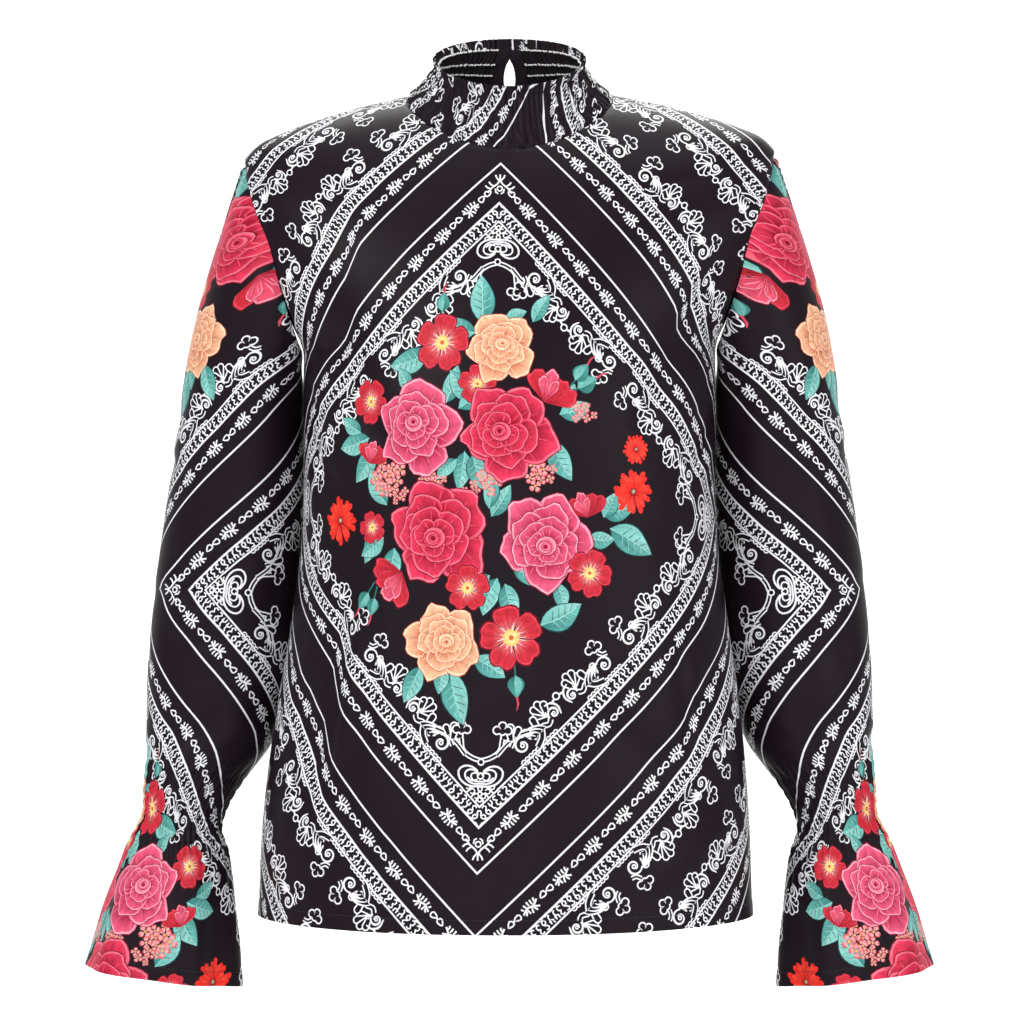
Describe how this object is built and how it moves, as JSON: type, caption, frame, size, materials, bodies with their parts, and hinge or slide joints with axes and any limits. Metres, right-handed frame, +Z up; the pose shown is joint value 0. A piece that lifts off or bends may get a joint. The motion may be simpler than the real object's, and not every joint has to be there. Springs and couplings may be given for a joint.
{
  "type": "blouse",
  "caption": "Long-sleeved blouse held open in its worn form, with a gathered stand collar, a back keyhole and flared cuffs below gathered wrists.",
  "frame": {"origin": "on the line of the shoulders where the collar meets them, midway between the two shoulders and between front and back", "axes": "+Z up, -Y towards the front of the garment, +X towards the wearer's left sleeve"},
  "size_m": [0.6664, 0.269, 0.7459],
  "materials": {
    "printed_satin": "soft satin, aubergine black, printed in white, reds, peach and teal",
    "button": "glossy black",
    "loop_thread": "twisted dark red thread"
  },
  "bodies": {
    "root": {"front": "printed_satin", "back": "printed_satin", "sleeve_left": "printed_satin", "sleeve_right": "printed_satin", "collar": "printed_satin", "neck_button": "button", "neck_loop": "loop_thread"}
  },
  "joints": []
}
